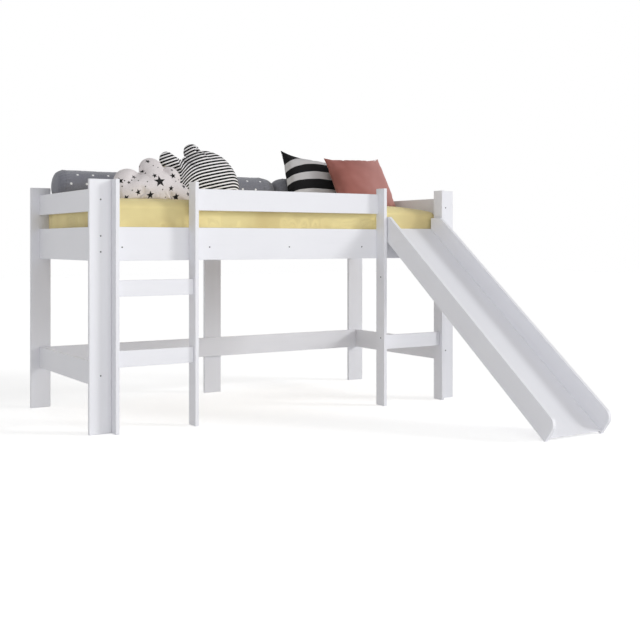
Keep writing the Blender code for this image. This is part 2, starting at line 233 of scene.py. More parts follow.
slideTurn = 36.949
lacquer = {
    "color": (0.852, 0.855, 0.893), "dull": (0.797, 0.80, 0.843), "roughness": 0.46,
    "spread": 0.16, "gloss": 0.36, "grain": (34.0, 5.0, 0.6), "stretch": 14.0,
    "cloud": (2.6, 2.0), "peel": (520.0, 2.0), "wornBand": (0.50, 0.78), "wornShare": 0.30,
    "cloudBand": (0.35, 0.75), "cloudShare": 0.35, "grainBump": 0.7, "peelBump": 0.3,
    "bump": 0.00012,
}
bareWood = {
    "pale": (0.77, 0.64, 0.46), "dark": (0.60, 0.45, 0.28), "roughness": 0.62,
    "stretch": 16.0, "rings": 46.0, "slope": 1.7, "bend": 5.0, "bendDepth": 0.10,
    "fibre": (420.0, 4.0, 0.7), "ringShare": 0.30, "fibreShare": 0.75, "darkBand": (0.0, 0.85),
    "bump": 0.0003,
}
steel = {
    "color": (0.52, 0.53, 0.55), "shade": 0.8, "roughness": 0.34, "spread": 0.2,
    "brush": 900.0, "stretch": (1.0, 18.0, 18.0), "bump": 0.00005,
}


def turnedSpot(tree, place=(0, 0, 0), turn=(0, 0, 0), stretch=(1, 1, 1)):
    # The point in a piece's own directions, measured from its middle
    spot = putNode(tree, "TexCoord").outputs["Object"]
    sockets = {"Vector": spot, "Location": place, "Rotation": turn, "Scale": stretch}
    return putNode(tree, "Mapping", sockets, vector_type="TEXTURE").outputs[0]


def splitSpot(tree, spot):
    return putNode(tree, "SeparateXYZ", {"Vector": spot}).outputs


def noiseAt(tree, spot, scale, detail=3.0, roughness=0.5):
    # The tables give a noise's scale, then its detail and roughness where these differ.
    sockets = {"Vector": spot, "Scale": scale, "Detail": detail, "Roughness": roughness}
    return putNode(tree, "TexNoise", sockets).outputs[0]


def bumpFrom(tree, shader, height, depth):
    made = putNode(tree, "Bump", {"Height": height, "Distance": depth, "Strength": 1.0})
    tree.links.new(made.outputs[0], shader.inputs["Normal"])


def roughFrom(tree, shader, value, s):
    # Roughness spreads round its middle as the value goes from 0 to 1.
    rough = calc(tree, "*+", value, s["spread"], s["roughness"] - s["spread"] / 2)
    feed(tree, shader.inputs["Roughness"], rough)


def runStretch(run, amount):
    return [amount if axis == run else 1.0 for axis in "XYZ"]


def makeLacquer(name, run, turn=(0, 0, 0)):
    s = lacquer
    material, tree, shader = startMaterial(name, {"Specular IOR Level": s["gloss"]})
    along = turnedSpot(tree, turn=turn, stretch=runStretch(run, s["stretch"]))
    plain = putNode(tree, "TexCoord").outputs["Object"]
    grain = noiseAt(tree, along, *s["grain"])
    cloud = noiseAt(tree, plain, *s["cloud"])
    peel = noiseAt(tree, plain, *s["peel"])
    worn = calc(tree, "*", band(tree, grain, *s["wornBand"]), s["wornShare"])
    clouded = calc(tree, "*", band(tree, cloud, *s["cloudBand"]), s["cloudShare"])
    dull = calc(tree, "+", worn, clouded)
    colorFrom(tree, shader, dull, s["color"], s["dull"])
    roughFrom(tree, shader, cloud, s)
    skin = calc(tree, "*", peel, s["peelBump"])
    height = calc(tree, "*+", grain, s["grainBump"], skin)
    bumpFrom(tree, shader, height, s["bump"])
    return material


def makeWood(name, run):
    s = bareWood
    material, tree, shader = startMaterial(name, {"Roughness": s["roughness"]})
    along = turnedSpot(tree, stretch=runStretch(run, s["stretch"]))
    bend = noiseAt(tree, along, s["bend"])
    x, y, z = splitSpot(tree, along)
    depth = calc(tree, "*+", z, s["slope"], x if run == "Y" else y)
    wave = calc(tree, "*+", bend, s["bendDepth"], depth)
    rings = calc(tree, "SINE", calc(tree, "*", wave, 2 * pi * s["rings"]))
    fibre = noiseAt(tree, along, *s["fibre"])
    fibres = calc(tree, "*", fibre, s["fibreShare"])
    share = calc(tree, "*+", rings, s["ringShare"], fibres)
    darker = band(tree, share, *s["darkBand"])
    colorFrom(tree, shader, darker, s["pale"], s["dark"])
    bumpFrom(tree, shader, share, s["bump"])
    return material


def makeSteel(name):
    s = steel
    material, tree, shader = startMaterial(name, {"Metallic": 1.0})
    lines = noiseAt(tree, turnedSpot(tree, stretch=s["stretch"]), s["brush"])
    dark = shaded(s["color"], s["shade"])
    colorFrom(tree, shader, lines, dark, s["color"])
    roughFrom(tree, shader, lines, s)
    bumpFrom(tree, shader, lines, s["bump"])
    return material


def paint(node, material):
    for place in cadNodes[node].material_slots:
        place.material = material


def paintBoards():
    finishes = (
        (
            makeLacquer("lacquer upright", "Z"),
            ("corner_board", "middle_board", "ladder_stile", "slide_post"),
        ),
        (
            makeLacquer("lacquer lengthways", "X"),
            ("side_rail", "guard_back", "guard_front", "low_rail_back", "rung"),
        ),
        (makeLacquer("lacquer crossways", "Y"), ("end_rail", "guard_end", "low_rail_end")),
        (
            makeLacquer("lacquer sloped", "Y", (radians(slideTurn), 0, 0)),
            ("slide_panel", "slide_chute", "slide_bar"),
        ),
        (makeWood("slat wood", "Y"), ("slat_0", "slat_1")),
        (makeWood("cleat wood", "X"), ("slat_cleat",)),
        (makeSteel("hook steel"), ("slide_hook",)),
    )
    for material, names in finishes:
        for node in cadNodes:
            if node.startswith(names):
                paint(node, material)


paintBoards()
print("boards are painted")


# Cloth finishes

fabric = {
    "sheet": (0.90, 0.775, 0.385), "sheetDeep": (0.72, 0.575, 0.26),
    "grey": (0.180, 0.184, 0.220), "greyPale": (0.295, 0.302, 0.350),
    "dot": (0.90, 0.90, 0.92),
    "star": (0.845, 0.792, 0.795), "starDeep": (0.665, 0.62, 0.625),
    "ink": (0.008, 0.007, 0.008), "chalk": (0.95, 0.94, 0.95),
    "broadDark": (0.006, 0.006, 0.007), "broadPale": (0.65, 0.64, 0.65),
    "ticking": (0.74, 0.73, 0.71),
    "rose": (0.395, 0.152, 0.130), "roseDeep": (0.31, 0.112, 0.093),
    # The pale rose is the colour of the brushed strokes, and also painted light on the
    # cushion's right side.
    "rosePaleStrokesAndPaintedLight": (0.60, 0.33, 0.31),
}
# What every cloth has: how it takes light, and the fuzz on its weave
clothSockets = {"Roughness": 0.88, "Sheen Roughness": 0.5, "Specular IOR Level": 0.2}
clothFuzz = {"amount": 0.5, "scale": 0.6}


def weaveBump(tree, shader, local, pitch, depth):
    sides = splitSpot(tree, local)[:2]
    waves = [calc(tree, "SINE", calc(tree, "*", side, 2 * pi / pitch)) for side in sides]
    cross = calc(tree, "*", *waves)
    rough = noiseAt(tree, local, clothFuzz["scale"] / pitch)
    height = calc(tree, "*+", rough, clothFuzz["amount"], cross)
    bumpFrom(tree, shader, height, depth)
    return rough


def clothMaterial(name, sheen, more={}):
    return startMaterial(name, {**clothSockets, "Sheen Weight": sheen, **more})


# The weaves give the pitch of the threads and how deep they stand.
sheetCloth = {
    "sheen": 0.3, "weave": (0.0022, 0.0003), "weaveShare": 0.12, "mottle": 4.4,
    "mottleBand": (0.32, 0.88),
}
tickingCloth = {"sheen": 0.1, "weave": (0.0030, 0.0003), "shade": 0.85}


def makeSheetCloth():
    s = sheetCloth
    material, tree, shader = clothMaterial("yellow jersey", s["sheen"])
    local = turnedSpot(tree)
    soft = noiseAt(tree, local, s["mottle"])
    rough = weaveBump(tree, shader, local, *s["weave"])
    mottled = band(tree, soft, *s["mottleBand"])
    share = calc(tree, "*+", rough, s["weaveShare"], mottled)
    colorFrom(tree, shader, share, fabric["sheet"], fabric["sheetDeep"])
    return material


def makeTicking():
    s = tickingCloth
    material, tree, shader = clothMaterial("mattress ticking", s["sheen"])
    rough = weaveBump(tree, shader, turnedSpot(tree), *s["weave"])
    pale = fabric["ticking"]
    colorFrom(tree, shader, rough, shaded(pale, s["shade"]), pale)
    return material


# Stars: each has its middle across and up from the bottom edge, its radius and its turn.
starPrint = {
    "stars": (
        (0.011, 0.087, 0.029, 4), (-0.009, 0.1155, 0.013, 20), (0.0885, 0.1225, 0.016, 8),
        (0.0915, 0.1545, 0.008, 30), (0.068, 0.0575, 0.014, 2), (-0.0905, 0.038, 0.015, 24),
        (-0.033, 0.0265, 0.018, 6), (-0.168, 0.094, 0.018, 10), (-0.100, 0.1145, 0.012, 36),
        (-0.130, 0.085, 0.009, 15), (-0.023, 0.194, 0.012, 30), (-0.060, 0.176, 0.008, 3),
        (-0.051, 0.147, 0.009, 50), (0.098, 0.023, 0.017, 12), (-0.1445, 0.0145, 0.015, 28),
        (0.146, 0.076, 0.014, 5), (0.1665, 0.041, 0.013, 22),
    ),
    "dots": (
        (-0.089, 0.091), (-0.048, 0.0855), (-0.0595, 0.062), (0.024, 0.050), (-0.161, 0.0675),
        (-0.120, 0.046), (-0.149, 0.0935), (-0.1155, 0.096), (-0.0435, 0.134), (0.099, 0.095),
        (-0.005, 0.1685), (0.0165, 0.1605), (0.125, 0.110), (0.045, 0.020),
    ),
    "dotRadius": 0.0030, "waist": 0.42,
    "sheen": 0.25, "weave": (0.0016, 0.0002), "weaveBand": (0.3, 0.8),
}


def starGroup():
    # A five-pointed star: the angle is folded onto half a ray, whose edge is a straight line.
    tree = bpy.data.node_groups.new("fiveRays", "ShaderNodeTree")
    for name in ("Across", "Up", "Radius", "Turn"):
        tree.interface.new_socket(name, in_out="INPUT", socket_type="NodeSocketFloat")
    tree.interface.new_socket("Mask", in_out="OUTPUT", socket_type="NodeSocketFloat")
    given = tree.nodes.new("NodeGroupInput").outputs
    answer = tree.nodes.new("NodeGroupOutput").inputs
    angle = calc(tree, "+", calc(tree, "ARCTAN2", given[0], given[1]), given[3])
    fold = calc(tree, "PINGPONG", angle, pi / 5)
    squares = [calc(tree, "*", given[k], given[k]) for k in (0, 1)]
    reach = calc(tree, "/", calc(tree, "SQRT", calc(tree, "+", *squares)), given[2])
    lean = starPrint["waist"] * sin(pi / 5)
    rise = 1 - starPrint["waist"] * cos(pi / 5)
    ahead = calc(tree, "*", calc(tree, "COSINE", fold), lean)
    aside = calc(tree, "*+", calc(tree, "SINE", fold), rise, ahead)
    feed(tree, answer[0], calc(tree, "<", calc(tree, "*", reach, aside), lean))
    return tree


def makeStarCloth(place, turn):
    s = starPrint
    material, tree, shader = clothMaterial("star cotton", s["sheen"])
    local = turnedSpot(tree, place, turn)
    x, y = splitSpot(tree, local)[:2]
    rays = starGroup()
    marks = []
    for across, up, radius, turned in s["stars"]:
        aside, rise = calc(tree, "-", x, across), calc(tree, "-", y, up)
        sockets = {0: aside, 1: rise, 2: radius, 3: radians(turned)}
        marks.append(putNode(tree, "Group", sockets, node_tree=rays).outputs[0])
    flat = putNode(tree, "CombineXYZ", {"X": x, "Y": y})
    for across, up in s["dots"]:
        spots = {0: flat.outputs[0], 1: (across, up, 0.0)}
        apart = putNode(tree, "VectorMath", spots, operation="DISTANCE")
        marks.append(calc(tree, "<", apart.outputs["Value"], s["dotRadius"]))
    mask = marks[0]
    for mark in marks[1:]:
        mask = calc(tree, "MAXIMUM", mask, mark)
    rough = weaveBump(tree, shader, local, *s["weave"])
    worn = band(tree, rough, *s["weaveBand"])
    ground = blendColor(tree, worn, fabric["star"], fabric["starDeep"])
    colorFrom(tree, shader, mask, ground, fabric["ink"])
    return material


# A stripe's level over the cushion: where it bends, how steeply, and how thick its dark part
# is. "hook" and "drop" bend it down at the left and the right, and beyond "left" it has its
# own slope.
stripePrint = {
    "fine": {
        "period": 0.0164, "start": 0.00695, "weave": (0.0014, 0.000168),
        "thin": 0.0, "thinFrom": 0.5, "topFrom": 0.9,
        "rise": 0.24, "sag": 0.0, "sagRise": 0.0, "hook": 25.0, "drop": 33.0,
        "left": -0.165, "leftRise": 0.33, "wander": 0.12,
    },
    "broad": {
        "period": 0.112, "start": 0.112, "weave": (0.0040, 0.00048),
        "thin": 0.10, "thinFrom": 0.185, "topFrom": 0.328,
        "rise": 0.05, "sag": 0.75, "sagRise": 6.0, "hook": 0.0, "drop": 0.0,
        "left": -0.30, "leftRise": 0.0, "wander": 0.06,
    },
}
stripeCloth = {
    "sheen": 0.0, "dark": 0.56, "hookFrom": -0.04, "dropFrom": 0.09, "sagFrom": 0.12,
    "sagReach": 0.10, "edge": 0.02, "thinOver": 0.04, "topOver": 0.002,
    "wanderNoise": (14.0, 2.0), "wear": (0.25, 0.82), "shade": 0.80,
}


def cubeOf(tree, value):
    return calc(tree, "*", calc(tree, "*", value, value), value)


def stripeLevel(tree, across, up, s):
    held = calc(tree, "MAXIMUM", across, s["left"])
    drop = calc(tree, "*", held, s["rise"])
    low = calc(tree, "MINIMUM", held, 0.0)
    above = calc(tree, "MAXIMUM", calc(tree, "-", up, s["sagFrom"]), 0.0)
    steeper = calc(tree, "MINIMUM", above, s["sagReach"])
    sag = calc(tree, "*+", steeper, s["sagRise"], s["sag"])
    sunk = calc(tree, "*", calc(tree, "*", low, low), sag)
    drop = calc(tree, "-", drop, sunk)
    short = calc(tree, "MINIMUM", calc(tree, "-", held, s["hookFrom"]), 0.0)
    drop = calc(tree, "*+", cubeOf(tree, short), s["hook"], drop)
    past = calc(tree, "MAXIMUM", calc(tree, "-", held, s["dropFrom"]), 0.0)
    drop = calc(tree, "*+", cubeOf(tree, past), -s["drop"], drop)
    beyond = calc(tree, "MINIMUM", calc(tree, "-", across, s["left"]), 0.0)
    drop = calc(tree, "*+", beyond, s["leftRise"], drop)
    return calc(tree, "-", up, drop)


def makeStripeCloth(kind, dark, pale, place, turn):
    s = {**stripeCloth, **stripePrint[kind]}
    material, tree, shader = clothMaterial(kind + " stripes", s["sheen"])
    local = turnedSpot(tree, place, turn)
    level = stripeLevel(tree, *splitSpot(tree, local)[:2], s)
    wander = noiseAt(tree, local, *s["wanderNoise"])
    level = calc(tree, "*+", wander, s["wander"] * s["period"], level)
    turns = calc(tree, "/", calc(tree, "-", level, s["start"]), s["period"])
    share = calc(tree, "FRACT", turns)
    thinner = band(tree, level, s["thinFrom"], s["thinFrom"] + s["thinOver"])
    lost = calc(tree, "*", thinner, s["thin"])
    darkShare = calc(tree, "-", s["dark"], lost)
    inside = band(tree, share, 0.0, s["edge"])
    past = calc(tree, "-", share, darkShare)
    stripe = calc(tree, "-", inside, band(tree, past, 0.0, s["edge"]))
    top = band(tree, level, s["topFrom"], s["topFrom"] + s["topOver"])
    mask = calc(tree, "MAXIMUM", stripe, top)
    rough = weaveBump(tree, shader, local, *s["weave"])
    worn = calc(tree, "*+", rough, *s["wear"])
    ground = blendColor(tree, worn, shaded(pale, s["shade"]), pale)
    colorFrom(tree, shader, mask, ground, dark)
    return material


def fineStripes(place, turn):
    return makeStripeCloth("fine", fabric["ink"], fabric["chalk"], place, turn)


def broadStripes(place, turn):
    dark, pale = fabric["broadDark"], fabric["broadPale"]
    return makeStripeCloth("broad", dark, pale, place, turn)


velvet = {
    "sheen": 0.55,
    "sockets": {"Sheen Roughness": 0.35, "Sheen Tint": (0.95, 0.55, 0.50, 1.0)},
    "strokes": (7.0, 2.0), "pile": (900.0, 2.0), "deepBand": (0.30, 0.66),
    # The band across the cushion and its share paint its right side paler: painted light.
    "paintedLightBand": (-0.12, 0.20), "paintedLightShare": 0.60, "brushBand": (0.55, 0.90),
    "brushShare": 0.30, "strokeBump": 2.0, "bump": 0.0004,
}


def makeVelvet(place, turn):
    s = velvet
    material, tree, shader = clothMaterial("rose velvet", s["sheen"], s["sockets"])
    local = turnedSpot(tree, place, turn)
    across = splitSpot(tree, local)[0]
    stroked = noiseAt(tree, local, *s["strokes"])
    pile = noiseAt(tree, local, *s["pile"])
    deeper = band(tree, stroked, *s["deepBand"])
    deep = blendColor(tree, deeper, fabric["roseDeep"], fabric["rose"])
    # Painted light: the velvet grows paler towards its right side, where the light falls. The
    # brush strokes pale it too.
    paintedLight = calc(tree, "*", band(tree, across, *s["paintedLightBand"]), s["paintedLightShare"])
    brushed = band(tree, stroked, *s["brushBand"])
    share = calc(tree, "*+", brushed, s["brushShare"], paintedLight)
    colorFrom(tree, shader, share, deep, fabric["rosePaleStrokesAndPaintedLight"])
    height = calc(tree, "*+", stroked, s["strokeBump"], pile)
    bumpFrom(tree, shader, height, s["bump"])
    return material


dotPrint = {
    "pitch": 0.080, "rows": 10, "turn": 9.0, "radius": 0.0062, "capShare": 0.87,
    "sheen": 0.5, "weave": (0.0016, 0.0002), "weaveBand": (0.35, 0.75),
}


def makeDotCloth(name, place, ends, radius):
    # Staggered dots, wrapped round the bolster, with plain discs at its ends
    s = dotPrint
    material, tree, shader = clothMaterial(name, s["sheen"])
    local = turnedSpot(tree, place)
    x, y, z = splitSpot(tree, local)
    turn = calc(tree, "-", calc(tree, "ARCTAN2", y, z), radians(s["turn"]))
    lines = calc(tree, "*", turn, s["rows"] / (2 * pi))
    odd = calc(tree, "MODULO", calc(tree, "ABSOLUTE", calc(tree, "FLOOR", lines)), 2.0)
    steps = calc(tree, "*+", odd, 0.5, calc(tree, "/", x, s["pitch"]))
    squares = []
    for count, size in ((steps, s["pitch"]), (lines, 2 * pi * radius / s["rows"])):
        middle = calc(tree, "-", calc(tree, "FRACT", count), 0.5)
        away = calc(tree, "*", middle, size)
        squares.append(calc(tree, "*", away, away))
    apart = calc(tree, "SQRT", calc(tree, "+", *squares))
    dots = calc(tree, "<", apart, s["radius"])
    outside = [calc(tree, "<", x, ends[0]), calc(tree, ">", x, ends[1])]
    onSide = calc(tree, "-", 1.0, calc(tree, "MAXIMUM", *outside))
    mask = calc(tree, "*", dots, onSide)
    rough = weaveBump(tree, shader, local, *s["weave"])
    worn = band(tree, rough, *s["weaveBand"])
    ground = blendColor(tree, worn, fabric["grey"], fabric["greyPale"])
    colorFrom(tree, shader, mask, ground, fabric["dot"])
    return material


# Soft pieces


def remesh(piece, size):
    piece.data.remesh_voxel_size = size
    piece.data.remesh_voxel_adaptivity = 0.0
    bpy.context.view_layer.objects.active = piece
    piece.select_set(True)
    bpy.ops.object.voxel_remesh()
    piece.select_set(False)


def readPoints(piece, kind="co"):
    dots = piece.data.vertices
    points = np.zeros(len(dots) * 3)
    dots.foreach_get(kind, points)
    return points.reshape(-1, 3)


def writePoints(piece, points):
    piece.data.vertices.foreach_set("co", points.astype(np.float32).ravel())
    piece.data.update()


# How the cloth behaves where a piece's own settings say nothing
clothPhysics = {
    "quality": 5, "mass": 0.3, "airDamping": 1.0, "tension": 15.0, "shear": 5.0,
    "bending": 0.5,
}


def swell(piece, settings, held=None):
    # Cloth under pressure without gravity, stopped when the piece is as thick as it should be
    s = {**clothPhysics, **settings}
    before = readPoints(piece)
    cloth = piece.modifiers.new("cloth", "CLOTH")
    facts = cloth.settings
    facts.use_pressure = True
    facts.uniform_pressure_force = s["pressure"]
    facts.effector_weights.gravity = 0.0
    facts.quality = s["quality"]
    facts.mass = s["mass"]
    facts.air_damping = s["airDamping"]
    facts.tension_stiffness = s["tension"]
    facts.compression_stiffness = s["tension"]
    facts.shear_stiffness = s["shear"]
    facts.bending_stiffness = s["bending"]
    cloth.collision_settings.use_collision = False
    if held is not None:
        group = piece.vertex_groups.new(name="held")
        group.add([int(i) for i in held], 1.0, "REPLACE")
        facts.vertex_group_mass = "held"
    cloth.point_cache.frame_start = 1
    cloth.point_cache.frame_end = s["frames"]
    for moment in range(1, s["frames"] + 1):
        scene.frame_set(moment)
        solved = piece.evaluated_get(bpy.context.evaluated_depsgraph_get())
        after = readPoints(solved)
        thickness = float(np.ptp(after[:, 2]))
        if "thickness" in s and thickness >= s["thickness"]:
            break
    print("  ", piece.name, "is", round(thickness, 4), "thick after", moment, "steps")
    piece.modifiers.remove(cloth)
    piece.vertex_groups.clear()
    scene.frame_set(1)
    if "cap" in s:
        moved = after - before
        far = np.linalg.norm(moved, axis=1, keepdims=True)
        after = before + moved * np.minimum(1.0, s["cap"] / np.maximum(far, 1e-9))
    writePoints(piece, after)


def relax(piece, rounds, factor=0.5):
    shape = bmesh.new()
    shape.from_mesh(piece.data)
    for i in range(rounds):
        bmesh.ops.smooth_vert(
            shape, verts=shape.verts, factor=factor,
            use_axis_x=True, use_axis_y=True, use_axis_z=True,
        )
    shape.to_mesh(piece.data)
    shape.free()


def fitBox(piece, low, high):
    low, high = np.array(low), np.array(high)
    points = readPoints(piece)
    lowest, highest = points.min(0), points.max(0)
    points = (points - lowest) / (highest - lowest) * (high - low) + low
    writePoints(piece, points)


def polar(points):
    x, y = points[:, 0], points[:, 1]
    return np.arctan2(y, x), np.hypot(x, y)


def reachTable(points, bins):
    # The farthest point in each direction round the middle
    turns, out = polar(points)
    which = ((turns + pi) / (2 * pi) * bins).astype(int) % bins
    reach = np.zeros(bins)
    np.maximum.at(reach, which, out)
    return (np.arange(bins) + 0.5) / bins * 2 * pi - pi, reach


def fitOutline(piece, outline, s):
    # Brings the rim to the outline and pinches it to a sewn edge.
    points = readPoints(piece)
    wantedTurns, wanted = polar(np.array(outline))
    turns, reaches = reachTable(points, s["bins"])
    turn, out = polar(points)
    reach = np.interp(turn, turns, reaches, period=2 * pi)
    share = np.clip(out / reach, 0, 1)
    grow = np.interp(turn, wantedTurns, wanted, period=2 * pi) / reach
    points[:, :2] *= (1 + (grow - 1) * share**2)[:, None]
    edge = np.clip((share - s["pinchFrom"]) / (1 - s["pinchFrom"]), 0, 1)
    points[:, 2] *= 1 - s["pinch"] * edge**2
    writePoints(piece, points)


def addSeam(name, points, radius, material, body):
    # A thin round sewn seam along a closed row of points
    curve = bpy.data.curves.new(name, "CURVE")
    curve.dimensions = "3D"
    curve.bevel_depth = radius
    curve.bevel_resolution = 2
    line = curve.splines.new("POLY")
    line.points.add(len(points) - 1)
    line.points.foreach_set("co", np.hstack((points, np.ones((len(points), 1)))).ravel())
    line.use_cyclic_u = True
    curve.materials.append(material)
    seam = addObject(name, curve)
    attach(seam, body)


def dress(piece, node, material):
    # The node's body has the node's own name.
    piece.data.materials.clear()
    piece.data.materials.append(material)
    piece.data.shade_smooth()
    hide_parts(node)
    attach(piece, node)


def finishPad(piece, node, material):
    smoother = piece.modifiers.new("smoother", "SUBSURF")
    smoother.levels = 1
    smoother.render_levels = 1
    dress(piece, node, material)


# Mattress: the core and the fitted sheet that is stretched over it

mattressSettings = {
    "voxel": 0.0095, "smoothings": 2, "lastSmoothing": 0.3,
    "swell": {"pressure": 3.0, "frames": 6, "cap": 0.004, "bending": 2.0},
    "coreVoxel": 0.020, "coreShare": (0.999, 0.998, 0.985), "coreFill": 0.95,
    "sheetGap": 0.0012, "tuck": 0.070, "underFacing": -0.7, "fold": 0.0105,
    "foldPitch": 0.040, "foldLength": 0.16, "foldBias": 0.35, "foldHeight": 0.915,
    "foldReach": 0.050, "foldSeed": 3.0, "patch": 0.21, "patchSeed": 8.0,
    "wave": 0.0042, "waveSize": (0.30, 0.22, 0.16), "waveBias": 0.5, "smoothFoot": 0.02,
    "sideSpare": 0.001, "footSpare": 0.0002, "topSpare": 0.004,
}


def wrinkleSheet(piece, low, high):
    # Folds run up the sides from where the sheet goes down behind the rails.
    s = mattressSettings
    points, normals = readPoints(piece), readPoints(piece, "normal")
    waveX, waveY, waveZ = s["waveSize"]
    for i, (point, normal) in enumerate(zip(points, normals)):
        x, y, z = point
        if z <= low[2] + s["smoothFoot"]:
            continue
        upright = 1 - abs(normal[2]) ** 3
        along = (x if abs(normal[1]) > abs(normal[0]) else y) / s["foldPitch"]
        near = max(0.0, 1 - abs(z - s["foldHeight"]) / s["foldReach"])
        patch = 0.5 + 0.5 * noise.noise((x / s["patch"], y / s["patch"], s["patchSeed"]))
        fold = noise.noise((along, z / s["foldLength"], s["foldSeed"])) - s["foldBias"]
        slow = noise.noise((x / waveX, y / waveY, z / waveZ)) - s["waveBias"]
        lift = s["fold"] * fold * near * patch * upright + s["wave"] * slow
        points[i] = point + normal * lift
    side = s["sideSpare"]
    lowest = (low[0] - side, low[1] - side, low[2] + s["footSpare"])
    highest = (high[0] + side, high[1] + side, high[2] + s["topSpare"])
    writePoints(piece, np.clip(points, lowest, highest))


def makeCore(sheet):
    # The mattress itself, just inside the sheet
    s = mattressSettings
    core = addObject("mattress_core", sheet.data.copy())
    writePoints(core, readPoints(core) - s["sheetGap"] * readPoints(core, "normal"))
    remesh(core, s["coreVoxel"])
    points = readPoints(core)
    middle = points.mean(0)
    writePoints(core, middle + (points - middle) * s["coreShare"])
    return core


def openUnderside(sheet, low, high):
    # Leaves a margin tucked under, and gives the area of what is left.
    s = mattressSettings
    shape = bmesh.new()
    shape.from_mesh(sheet.data)
    inner = (high.x - low.x) / 2 - s["tuck"], (high.y - low.y) / 2 - s["tuck"]
    centre = (low + high) / 2
    under = []
    for face in shape.faces:
        spot = face.calc_center_median() - centre
        within = abs(spot.x) < inner[0] and abs(spot.y) < inner[1]
        if within and face.normal.z < s["underFacing"]:
            under.append(face)
    bmesh.ops.delete(shape, geom=under, context="FACES")
    area = sum(face.calc_area() for face in shape.faces)
    shape.to_mesh(sheet.data)
    shape.free()
    return area


def makeMattress():
    s = mattressSettings
    low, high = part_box("mattress")
    shape = bmesh.new()
    shape.from_mesh(cadNodes["mattress"].data)
    bmesh.ops.remove_doubles(shape, verts=shape.verts, dist=mergeGap)
    sheet = newPiece("mattress_sheet", shape)
    remesh(sheet, s["voxel"])
    relax(sheet, s["smoothings"])
    swell(sheet, s["swell"])
    wrinkleSheet(sheet, low, high)
    relax(sheet, 1, s["lastSmoothing"])
    core = makeCore(sheet)
    area = openUnderside(sheet, low, high)
    dress(sheet, "mattress", makeSheetCloth())
    dress(core, "mattress", makeTicking())
    return sheet


mattress = makeMattress()
mattressTree = BVHTree.FromObject(mattress, bpy.context.evaluated_depsgraph_get())
print("mattress is made")


resting = {"from": 0.2, "spare": 0.0008}


def restOnMattress(points):
    # Whatever would sink into the sheet is lifted onto it.
    for i, (x, y, z) in enumerate(points):
        start = Vector((x, y, mattressTop + resting["from"]))
        spot = mattressTree.ray_cast(start, Vector((0, 0, -1)))[0]
        if spot is not None and z < spot.z + resting["spare"]:
            points[i, 2] = spot.z + resting["spare"]
    return points


# Bolsters

# "caps" is an end's outline from its middle outwards, in shares of the radius and of the depth.
bolsterSettings = {
    "capDepths": {"bolster_long": (0.046, 0.092), "bolster_short": (0.075, 0.046)},
    "caps": (
        (0.00, 0.00), (0.30, 0.010), (0.48, 0.03), (0.71, 0.12), (0.86, 0.32), (0.96, 0.62),
        (1.00, 1.00),
    ),
    "sides": 96, "voxel": 0.0062, "startShare": 0.985, "heldReach": 0.004,
    "swell": {"pressure": 4.0, "frames": 10, "cap": 0.005, "bending": 0.3},
    "fill": 0.85, "pucker": 0.0018, "puckers": 30, "puckerReach": 0.050, "drift": 4.0,
    "driftSize": 0.05, "driftTurns": 2.2, "wave": 0.9, "waveSize": 0.11,
    "waveTurns": 1.6, "waveSeed": 3.0, "innermost": 0.02, "sideSpare": 0.0015,
    "endSpare": 0.002, "welt": 0.0012, "weltPoints": 90, "weltShare": 0.985, "seamShare": 0.92,
}


def puckerBolster(points, radius, half, seams):
    # Small pleats beside the seams, and slow waves over the whole bolster
    s = bolsterSettings
    for i, (x, y, z) in enumerate(points):
        out = hypot(y, z)
        turn = atan2(y, z)
        near = max(0.0, 1 - min(abs(x - seam) for seam in seams) / s["puckerReach"])
        drift = noise.noise((x / s["driftSize"], turn * s["driftTurns"], half))
        fold = sin(s["puckers"] * turn + s["drift"] * drift)
        slow = noise.noise((x / s["waveSize"], turn * s["waveTurns"], half * s["waveSeed"]))
        lift = s["pucker"] * (fold * near * min(1.0, out / radius) + s["wave"] * slow)
        points[i, 1:] *= 1 + lift / max(out, s["innermost"])
    out = np.hypot(points[:, 1], points[:, 2])
    kept = np.minimum(out, radius + s["sideSpare"]) / np.maximum(out, 1e-6)
    points[:, 1:] *= kept[:, None]
    reach = half + s["endSpare"]
    points[:, 0] = np.clip(points[:, 0], -reach, reach)
    return points


